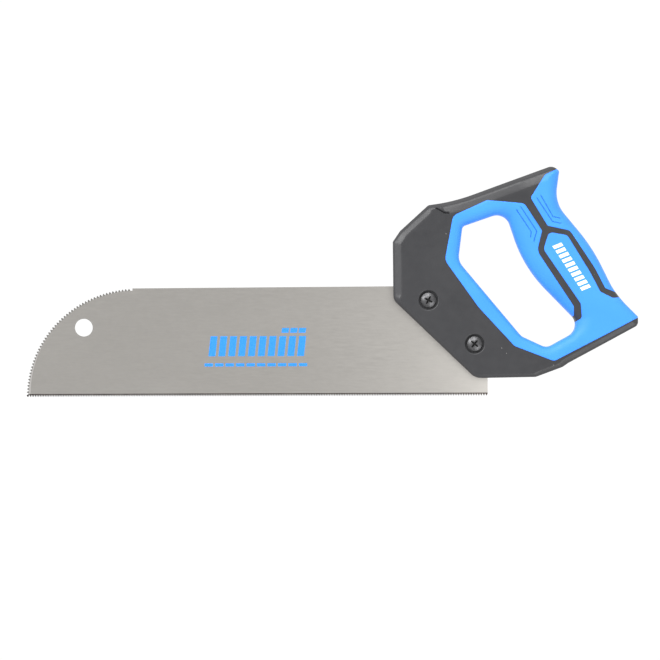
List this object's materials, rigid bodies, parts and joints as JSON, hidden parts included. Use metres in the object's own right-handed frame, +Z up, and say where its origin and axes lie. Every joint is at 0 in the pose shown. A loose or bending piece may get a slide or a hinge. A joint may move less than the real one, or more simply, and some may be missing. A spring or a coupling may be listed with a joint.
{
  "type": "back saw",
  "caption": "Fine-toothed flooring saw with a toothed curved nose, a hanging hole, a pistol-type closed handle with two-colour grip mouldings and two handle screws.",
  "frame": {"origin": "on the surface that the saw lies on, under the middle of its outline", "axes": "+X from the nose to the butt of the handle, +Y from the teeth to the back of the blade, +Z up, from the far cheek to the near cheek"},
  "size_m": [0.4376, 0.1635, 0.028],
  "materials": {
    "blade_steel": "satin, brushed along the blade",
    "hard_plastic": "fine matt moulding texture",
    "soft_grip": "soft matt elastomer",
    "black_steel": "black coated, slightly glossy"
  },
  "bodies": {
    "root": {"blade": "blade_steel", "handle_core": "hard_plastic", "finger_loop_overmold": "soft_grip", "palm_overmold": "soft_grip", "upper_screw": "black_steel", "lower_screw": "black_steel", "upper_sleeve_nut": "black_steel", "lower_sleeve_nut": "black_steel"}
  },
  "joints": []
}
